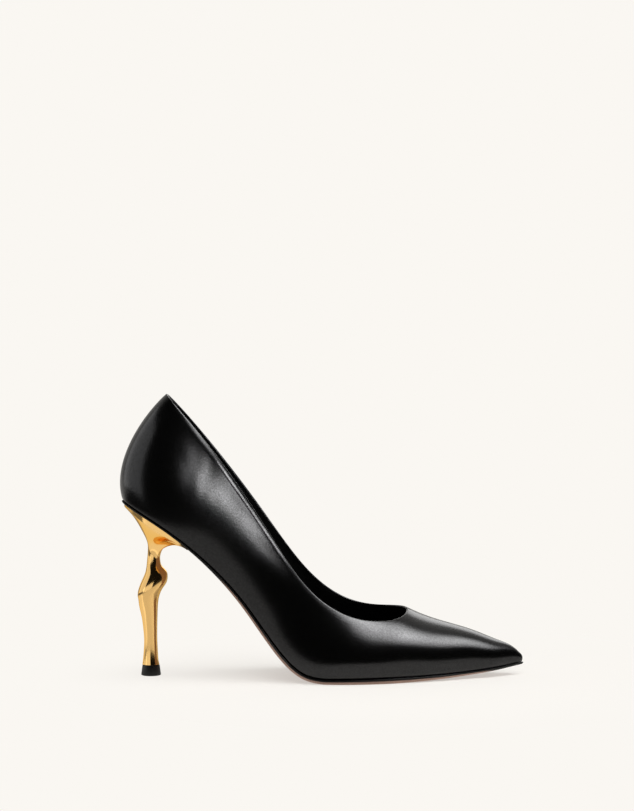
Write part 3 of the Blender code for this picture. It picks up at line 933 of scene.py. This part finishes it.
    def lean_in(self, points: Array, normals: Array, edge: tuple[Array, ...]) -> Array:
        """Skin that leans inward where it comes near the edge of the opening, and keeps its height there.

        Args:
            points: Skin of one side.
            normals: Its normals.
            edge: The opening.

        Returns:
            The moved points.
        """
        loop, _, over = edge
        apart = np.linalg.norm(points[:, :, None, :] - loop, axis=-1)
        near = apart.argmin(axis=2)
        depth = self.lean(loop)[near] * np.clip(1 - apart.min(axis=2) / self.curl_height, 0, 1) ** 2
        return points + depth[..., None] * (self.curl_lift * over[near] - normals)

    def rim(self, points: Sides, normals: Sides) -> Sides:
        """Half round of the folded edge.

        Args:
            points: Outer skin of each side.
            normals: Its normals before it leans inward.

        Returns:
            Points of each side, shaped (columns to the throat, roll_rows, 3).
        """
        throat = self.throat
        loop, facing, rise = self.opening(points, normals)
        slope = 2 * self.lean(loop)[:, None] / self.curl_height
        facing, rise = unit(facing + slope * rise), unit(rise - slope * facing)
        turn = math.pi * np.arange(1, self.roll_rows + 1) / self.roll_rows
        centre = (loop - self.fold_radius * facing)[:, None, :]
        roll = centre + self.fold_radius * (
            np.cos(turn)[None, :, None] * facing[:, None, :] + np.sin(turn)[None, :, None] * rise[:, None, :]
        )
        return {Side.OUTER: roll[: throat + 1], Side.INNER: np.concatenate([roll[:1], roll[throat:][::-1]])}

    def build(self) -> Object:
        """Build the shell as one closed wall: outside, folded edge, facing, lining."""
        form = Last(self.sole, self.fold_radius)
        lining_form = Last(self.sole, self.fold_radius + self.facing)
        points, normals = self.skin(form, self.outer_rows)
        inside, inside_normals = self.skin(lining_form, self.inner_rows)
        edge = self.opening(points, normals)
        for side in Side:
            points[side] = self.lean_in(points[side], normals[side], edge)
            inside[side] = self.lean_in(inside[side], inside_normals[side], edge)
        rolls = self.rim(points, normals)
        sides = {}
        for side in Side:
            outside = self.shape_outside(points[side], normals[side], self.places(form))
            crown = np.repeat(outside[self.throat + 1 :, -1:], self.roll_rows, axis=1)
            roll = np.concatenate([rolls[side], crown])
            facing = inside[side][:, -1:] - 2 * self.fold_radius * inside_normals[side][:, -1:]
            lining = (inside[side] - self.wall * inside_normals[side])[:, ::-1]
            sides[side] = np.concatenate([outside, roll, facing, lining], axis=1)
        around = np.concatenate([sides[Side.OUTER], sides[Side.INNER][-2::-1]])
        mesh = lay_grid(np.swapaxes(around, 0, 1))
        self.open_front(mesh, len(around))
        bmesh.ops.remove_doubles(mesh, verts=mesh.verts[:], dist=WELD * MM)
        hems = [e for e in mesh.edges if e.is_boundary]
        bmesh.ops.bridge_loops(mesh, edges=hems)
        piece = finish_piece(mesh, "upper_shell", [self.calf.build(), self.lining.build()])
        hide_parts("upper")
        return piece

    def open_front(self, mesh: bmesh.types.BMesh, columns: int) -> None:
        """Number the lining's faces, and take out the strip of the folded edge in front of the throat.

        Args:
            mesh: The grid.
            columns: Count of its columns.
        """
        spare = []
        throat = self.throat
        lining_row = self.outer_rows + self.roll_rows + 1
        for number, face in enumerate(mesh.faces):
            row, column = divmod(number, columns - 1)
            face.material_index = int(row >= lining_row)
            in_front = throat <= column < columns - 1 - throat
            if in_front and self.outer_rows <= row <= lining_row:
                spare.append(face)
        bmesh.ops.delete(mesh, geom=spare, context="FACES")


@dataclass
class Plate:
    """Sole or insole: a bent plate along the feather line, as a closed run of cross-sections."""

    sole: SoleProfile
    across: int = 14
    along: int = 220
    even: float = 0.5  # spacing along the plate, as for bunch

    def sections(self, last: Last, levels: Sequence[tuple[float, float, float]]) -> Array:
        """Points of the plate.

        Args:
            last: The form.
            levels: Outset in mm, share of the sole's thickness and extra height in mm, from the bottom up.

        Returns:
            Points shaped (around, along, 3).
        """
        places = last.length * bunch(self.along, self.even)
        share = np.linspace(0, 1, self.across + 1)[1:-1]
        edges = {side: [] for side in Side}
        for outset, part, extra in levels:
            plan = last.outline(places, outset)
            for side in Side:
                x, y = plan[side].T
                edges[side].append(np.stack([x, y, self.sole.height(x, part, extra)], -1))
        rows = list(edges[Side.OUTER])
        rows += [self.between(edges, -1, q, levels[-1]) for q in share]
        rows += edges[Side.INNER][::-1]
        rows += [self.between(edges, 0, 1 - q, levels[0]) for q in share]
        return np.array(rows + rows[:1])

    def between(
        self, edges: dict[Side, list[Array]], level: int, q: float, place: tuple[float, float, float]
    ) -> Array:
        """Line along the plate at share q of the way from its outer edge to its inner edge."""
        line = edges[Side.OUTER][level] * (1 - q) + edges[Side.INNER][level] * q
        line[:, 2] = self.sole.height(line[:, 0], place[1], place[2])
        return line


@dataclass
class Sock(Plate):
    """Insole board with its sock, edge softly rounded."""

    finish: LiningLeather = LiningLeather(name="black_sock_leather", roughness=(0.42, 0.58))
    thick: float = 2.0
    inset: float = 2.1
    round_edge: float = 0.6
    round_middle: float = 0.3  # how far the round's middle stays inside its corner, share of the radius

    def build(self) -> Object:
        """Build the sock over its board."""
        last = Last(self.sole, 0.0)
        top = GAP + self.thick
        levels = [(-self.inset, 1.0, GAP)]
        for out, down in ((0.0, 1.0), (self.round_middle, self.round_middle), (1.0, 0.0)):
            levels.append((-self.inset - out * self.round_edge, 1.0, top - down * self.round_edge))
        mesh = lay_grid(self.sections(last, levels))
        piece = finish_piece(mesh, "sock", [self.finish.build()])
        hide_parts("insole")
        return piece


@dataclass
class Outsole(Plate):
    """Thin leather sole: upright painted edge, bevel below it."""

    finish: SoleLeather = SoleLeather()
    standout: float = 0.5
    tan_start: float = -54.0  # in front of the heel seat
    tan_end: float = 94.0  # short of the toe tip
    tan_fade: float = 7.0

    def black_ends(self, x: float) -> float:
        """Paint on the whole edge: full at the heel seat and at the toe tip, none between them."""
        behind = (self.tan_start - x) / self.tan_fade + 0.5
        ahead = (x - self.tan_end) / self.tan_fade + 0.5
        return min(max(behind, ahead, 0.0), 1.0)

    def build(self) -> Object:
        """Build the sole and paint the upper part of its edge."""
        last = Last(self.sole, 0.0)
        points = self.sections(last, [(self.standout - r.back, r.share, 0.0) for r in EDGE])
        around, along = points.shape[:2]
        painted = [r.paint for r in EDGE]
        top, bare = [1.0] * (self.across - 1), [0.0] * (self.across - 1)
        paint = painted + top + painted[::-1] + bare + painted[:1]
        mesh = lay_grid(points)
        layer = mesh.verts.layers.float.new("paint")
        for number, vert in enumerate(mesh.verts):
            row, column = number // along % (around - 1), number % along
            edge = row < len(EDGE) or self.across <= row - len(EDGE) + 1 < self.across + len(EDGE)
            vert[layer] = max(paint[row], self.black_ends(points[row, column, 0]) if edge else 0.0)
        piece = finish_piece(mesh, "sole", [self.finish.build()])
        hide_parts("outsole")
        return piece


@dataclass
class Heel:
    """Sculpted heel: seat along the sole, hollow flare, neck, slanting knuckle and slender shaft."""

    sole: SoleProfile
    finish: GoldPlating = GoldPlating()
    seat_inset: float = 0.8
    seat_gap: float = 0.05
    seat_forward: float = 6.0  # middle of the seat in front of the heel's axis
    wing_share: float = 0.207  # tips of the wings along the sole's outline, share of its length
    breast_x: float = -81.0
    columns: int = 144
    shaft_rows: int = 150
    flare_rows: int = 48
    band_shares: tuple[float, ...] = (0.08, 0.92, 1.0)  # rows of the upright band, close at both edges
    cap_rows: int = 8

    def angles(self) -> Array:
        """Angles around the neck, from the front toward the outer side, ending where they start."""
        return np.linspace(0, 2 * math.pi, self.columns + 1)

    def apart(self) -> Array:
        """How far each of these angles lies from the front, on either side."""
        return np.minimum(self.angles(), 2 * math.pi - self.angles())

    def seat(self) -> Array:
        """Edge of the heel seat in plan: the sole's outline, and a hollow breast line across its front."""
        last = Last(self.sole, 0.0)
        wing = math.radians(WING_ANGLE)
        angles, apart = self.angles(), self.apart()
        tip_place = self.wing_share * last.length
        place = tip_place * np.clip((math.pi - apart) / (math.pi - wing), 0, 1)
        edge = np.zeros((len(angles), 2))
        for side in Side:
            here = last.feather(place, side)[:, :2]
            ahead = unit(last.feather(place + STEP, side)[:, :2] - here)
            inward = np.stack([ahead[:, 1], -ahead[:, 0]], -1) * side.value
            mine = (angles < math.pi) if side is Side.OUTER else (angles >= math.pi)
            edge[mine] = (here + self.seat_inset * inward)[mine]
        q = np.clip(apart / wing, 0, 1)[:, None]
        middle = np.array([self.breast_x, HEEL_Y])
        front = middle + (edge - middle) * np.concatenate([q**2, q], axis=1)
        return np.where((apart < wing)[:, None], front, edge)

    def shaft(self) -> Array:
        """Slanting oval sections from the foot up to the neck, shaped (rows, columns, 3)."""
        at = np.linspace(0, len(SHAFT) - 1, self.shaft_rows + 1)
        steps = np.arange(len(SHAFT))
        row = {name: Spline(steps, column)(at) for name, column in by_column(SHAFT).items()}
        slant = np.radians(row["slant"])
        none = np.zeros_like(at)
        centre = np.stack([HEEL_X + row["shift"], none + HEEL_Y, row["height"]], -1)
        fore = np.stack([row["depth"] * np.cos(slant), none, row["depth"] * np.sin(slant)], -1)
        wide = np.stack([none, -row["breadth"], none], -1)
        angles = self.angles()[None, :, None]
        return centre[:, None] + fore[:, None] * np.cos(angles) + wide[:, None] * np.sin(angles)

    def flare(self, shaft: Array) -> Array:
        """Rows from above the neck to the seat.

        Args:
            shaft: Sections of the shaft, the last one at the neck.

        Returns:
            Points shaped (rows, columns, 3), the last row on the seat's edge.
        """
        neck = shaft[-1]
        table, apart = by_column(FLARE), self.apart()
        knots = np.radians(table["angle"])
        row = {name: Spline(knots, column, True)(apart) for name, column in table.items()}
        x, y = self.seat().T
        slope = self.sole.slope(x)
        fall = np.radians(row["fall"])[:, None]
        rise = [self.sole.height(a, 0.0, -self.seat_gap - b) for a, b in zip(x, row["band"])]
        edge = np.stack([x, y, rise], -1)
        inward = unit(np.stack([neck[:, 0] - x, neck[:, 1] - y, slope * (neck[:, 0] - x)], -1))
        below = unit(np.stack([slope, np.zeros_like(x), -np.ones_like(x)], -1))
        leave = row["seat_reach"][:, None] * (np.cos(fall) * inward + np.sin(fall) * below)
        upward = row["neck_reach"][:, None] * unit(neck - shaft[-2])
        points = np.stack([edge, edge + leave, neck + upward, neck], 1)
        shares = np.tile(1 - np.arange(1, self.flare_rows + 1) / self.flare_rows, (len(x), 1))
        seat = np.stack([x, y, self.sole.height(x, 0.0, -self.seat_gap)], -1)
        band = [edge + (seat - edge) * share for share in self.band_shares]
        return np.concatenate([np.swapaxes(bezier(points, shares), 0, 1), band])

    def build(self) -> Object:
        """Build the heel as one closed skin, from the middle of its foot to the middle of its seat."""
        shaft = self.shaft()
        flare = self.flare(shaft)
        share = np.linspace(0, 1, self.cap_rows + 1)[:-1, None, None]
        foot_middle = np.array([HEEL_X, HEEL_Y, shaft[0, 0, 2]])
        foot = foot_middle + (shaft[:1] - foot_middle) * share
        seat_middle = np.array([HEEL_X + self.seat_forward, HEEL_Y, 0.0])
        seat = seat_middle + (flare[-1:] - seat_middle) * share[::-1]
        seat[..., 2] = self.sole.height(seat[..., 0], 0.0, -self.seat_gap)
        mesh = lay_grid(np.concatenate([foot, shaft, flare, seat]))
        piece = finish_piece(mesh, "plated_heel", [self.finish.build()])
        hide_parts("heel")
        return piece


@dataclass
class TopPiece:
    """Small tapered wearing piece with rounded edges, turned from one profile."""

    finish: HeelRubber = HeelRubber()
    # Radius and height, from the middle of the foot over its rounded edge to the middle of the head
    profile: tuple[tuple[float, float], ...] = (
        (0.0, 0.0),
        (5.1, 0.0),
        (5.45, 0.15),
        (5.6, 0.5),
        (4.92, 5.55),
        (4.7, 5.9),
        (0.0, 5.9),
    )
    steps: int = 96

    def build(self) -> Object:
        """Spin the profile around the heel's axis."""
        mesh = bmesh.new()
        centre = (HEEL_X * MM, HEEL_Y * MM, 0.0)
        verts = [mesh.verts.new(((HEEL_X + r) * MM, centre[1], z * MM)) for r, z in self.profile]
        edges = [mesh.edges.new(pair) for pair in zip(verts, verts[1:])]
        turn = {"cent": centre, "axis": (0.0, 0.0, 1.0), "angle": 2 * math.pi, "steps": self.steps}
        bmesh.ops.spin(mesh, geom=verts + edges, use_merge=True, **turn)
        piece = finish_piece(mesh, "heel_top_piece", [self.finish.build()])
        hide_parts("top_piece")
        return piece


@dataclass
class Softbox:
    """Rectangular area light, placed by where it stands around the shoe."""

    name: str
    azimuth: float  # degrees from the camera's side, positive toward the toe
    elevation: float  # degrees
    size: tuple[float, float]  # width and height, metres
    radiance: float  # brightness of its face, where white paper is 1
    distance: float = 1.3  # metres
    aim: tuple[float, float, float] = (0.0, 0.0, 0.07)
    spread: float = 180.0  # opening of the grid in front of it, degrees
    only: tuple[str, ...] = ()  # pieces that it lights, or none for all

    def build(self) -> Object:
        """Hang the light and turn it to its aim."""
        data = bpy.data.lights.new(self.name, "AREA")
        data.shape = "RECTANGLE"
        data.size, data.size_y = self.size
        half = math.radians(self.spread) / 2
        gain = math.tan(half) / (math.tan(half) - half) if self.spread < 180 else 1.0
        data.spread = 2 * half
        data.energy = self.radiance * math.pi * self.size[0] * self.size[1] / gain
        lamp = add_object(self.name, data)
        az, el = math.radians(self.azimuth), math.radians(self.elevation)
        way = np.array([math.sin(az) * math.cos(el), -math.cos(az) * math.cos(el), math.sin(el)])
        lamp.location = np.array(self.aim) + self.distance * way
        lamp.rotation_euler = (math.pi / 2 - el, 0.0, az)
        lamp.visible_camera = False
        if self.only:
            lit = bpy.data.collections.new(self.name + "_lit")
            for name in self.only:
                lit.objects.link(bpy.data.objects[name])
            lamp.light_linking.receiver_collection = lit
        return lamp


@dataclass
class Studio:
    """Seamless pale set with soft light, and the camera at the photograph's angle."""

    paper: str = "faf7f2"
    shaded_paper: str = "e8e5e0"
    paper_roughness: float = 0.9
    reach: float = 6.0  # half size of the floor, metres
    floor_steps: int = 24
    shade_centre: tuple[float, float, float] = (0.04, 0.0, 0.0)  # metres
    # Changes along the floor: value at the start, value at the end, start and end in metres
    unshaded: tuple[float, ...] = (0.47, 1.0, 0.02, 0.2)  # share that no shadow falls on, outward
    mirrored_far: tuple[float, ...] = (0.02, 0.5, 0.15, 0.45)  # brightness that the shoe mirrors, backward
    mirrored_near: float = 0.58  # the same close to the shoe
    mirrored_reach: tuple[float, float] = (0.3, 0.48)  # where the one gives way to the other, metres
    mirrored_room: tuple[float, ...] = (0.008, 0.4, 0.0, 0.8)  # of the world, by Y of the direction
    spot_size: tuple[float, float] = (0.06, 0.06)
    spot_distance: float = 0.25
    spot_spread: float = 17.0
    spot_aim_y: float = -0.02
    camera_distance: float = 1.5
    camera_pitch: float = 2.6
    camera_aim: tuple[float, float, float] = (-0.002545, 0.0, 0.1533)
    mm_per_pixel: float = 0.565
    picture_height: int = 811
    sensor: float = 36.0

    def floor_material(self) -> Material:
        """Pale paper, even to the eye, that takes a soft shadow; far off, the shoe mirrors a dark room."""
        material, shader, place = start_material("seamless_paper")
        tree = material.node_tree
        ends = {0: place, 1: self.shade_centre}
        away = add_node(tree, "VectorMath", ends, operation="DISTANCE").outputs["Value"]
        backward = add_node(tree, "SeparateXYZ", {0: place}).outputs["Y"]
        mirrored = ease(away, self.mirrored_near, ease(backward, *self.mirrored_far), *self.mirrored_reach)
        seen = add_node(tree, "LightPath", {}).outputs["Is Camera Ray"]
        strength = add_node(tree, "Math", {0: mirrored, 1: seen}, operation="MAXIMUM").outputs[0]
        glow = add_node(tree, "Emission", {"Color": hex_colour(self.paper), "Strength": strength})
        inputs = {
            "Base Color": hex_colour(self.shaded_paper),
            "Roughness": self.paper_roughness,
            "Specular IOR Level": 0.0,
        }
        feed(shader, inputs)
        shares = {0: ease(away, *self.unshaded), 1: shader.outputs[0], 2: glow.outputs[0]}
        mix = add_node(tree, "MixShader", shares)
        feed(tree.nodes["Material Output"], {"Surface": mix.outputs[0]})
        return material

    def build_floor(self) -> None:
        """Lay the floor."""
        mesh = bmesh.new()
        steps = self.floor_steps
        bmesh.ops.create_grid(mesh, x_segments=steps, y_segments=steps, size=self.reach)
        floor = add_mesh(mesh, "floor", [self.floor_material()])

    def build_world(self) -> None:
        """Even pale set for the eye; the shoe mirrors a pale sweep behind it and a dark room in front."""
        world = bpy.data.worlds.new("studio")
        world.use_nodes = True
        tree = world.node_tree
        for node in list(tree.nodes):
            tree.nodes.remove(node)
        way = add_node(tree, "TexCoord", {}).outputs["Generated"]
        backward = add_node(tree, "SeparateXYZ", {0: way}).outputs["Y"]
        paper = hex_colour(self.paper)
        glow = ease(backward, *self.mirrored_room)
        room = add_node(tree, "Background", {"Color": paper, "Strength": glow})
        seen = add_node(tree, "Background", {"Color": paper, "Strength": 1.0})
        eye = add_node(tree, "LightPath", {}).outputs["Is Camera Ray"]
        mix = add_node(tree, "MixShader", {0: eye, 1: room.outputs[0], 2: seen.outputs[0]})
        add_node(tree, "OutputWorld", {"Surface": mix.outputs[0]})
        bpy.context.scene.world = world

    def spots(self) -> list[Softbox]:
        """Small lights on the near quarter, from their table."""
        boxes = []
        for spot in SPOTS:
            aim = (spot.aim_x, self.spot_aim_y, spot.aim_z)
            place = (spot.azimuth, spot.elevation, self.spot_size, spot.radiance, self.spot_distance)
            boxes.append(Softbox(spot.name, *place, aim, self.spot_spread, ("upper_shell",)))
        return boxes

    def build_lights(self) -> None:
        """Hang the softboxes."""
        vamp, back, shaft = (0.05, -0.01, 0.03), (-0.1, 0.0, 0.1), (-0.097, 0.0, 0.052)
        rim, collar = (-0.061, -0.025, 0.128), (-0.076, -0.02, 0.117)
        before, behind = (-0.125, -0.19, 0.1), (-0.225, 0.06, 0.1)
        calf, gold = ("upper_shell",), ("plated_heel",)
        boxes = [
            Softbox("vamp_box", 84.0, 62.0, (1.3, 1.3), 12.0, 1.3, vamp, 50.0),
            Softbox("ridge_box", 168.0, 22.0, (0.7, 0.45), 1.4, 1.3, vamp),
            Softbox("heel_panel", -92.0, 18.0, (1.6, 1.2), 0.8, 1.3, back),
            Softbox("top_box", 0.0, 55.0, (1.2, 1.2), 3.0, 1.6, only=("floor",)),
            Softbox("rim_box", 72.0, 29.0, (0.2, 0.12), 24.0, 0.5, rim, 19.0, calf),
            *self.spots(),
            Softbox("quarter_box_5", -4.0, 20.0, (0.08, 0.06), 2.6, 0.25, collar, 19.0, calf),
            Softbox("gold_card", -36.0, 0.0, (0.42, 0.1), 1.0, 0.32, shaft, only=gold),
            Softbox("gold_floor", 0.0, -90.0, (0.55, 0.32), 0.25, 0.099, before, only=gold),
            Softbox("gold_side", -106.0, 5.0, (0.64, 0.26), 0.12, 0.32, back, only=gold),
            Softbox("gold_sweep", 0.0, -90.0, (0.26, 0.24), 0.45, 0.098, behind, only=gold),
            Softbox("gold_back", 180.0, 20.0, (1.6, 0.7), 0.5, 1.0, shaft, only=gold),
        ]
        for box in boxes:
            box.build()

    def build_camera(self) -> None:
        """Set up the camera."""
        data = bpy.data.cameras.new("camera")
        data.sensor_width = self.sensor
        data.lens = self.camera_distance / (self.mm_per_pixel * MM) * self.sensor / self.picture_height
        camera = add_object("camera", data)
        pitch = math.radians(self.camera_pitch)
        x, y, z = self.camera_aim
        back, up = self.camera_distance * math.cos(pitch), self.camera_distance * math.sin(pitch)
        camera.location = (x, y - back, z + up)
        camera.rotation_euler = (math.pi / 2 - pitch, 0.0, 0.0)
        bpy.context.scene.camera = camera

    def build(self) -> None:
        """Set the stage."""
        bpy.context.scene.view_settings.view_transform = "Standard"
        self.build_floor()
        self.build_world()
        self.build_lights()
        self.build_camera()


def main() -> None:
    """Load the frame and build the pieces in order."""
    logging.basicConfig(level=logging.INFO, format="%(message)s")
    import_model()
    sole = SoleProfile()
    for maker in (Upper(sole), Sock(sole), Outsole(sole), Heel(sole), TopPiece()):
        piece = maker.build()
        LOG.info("%s: %d faces", piece.name, len(piece.data.polygons))
    Studio().build()


if __name__ == "__main__":
    main()
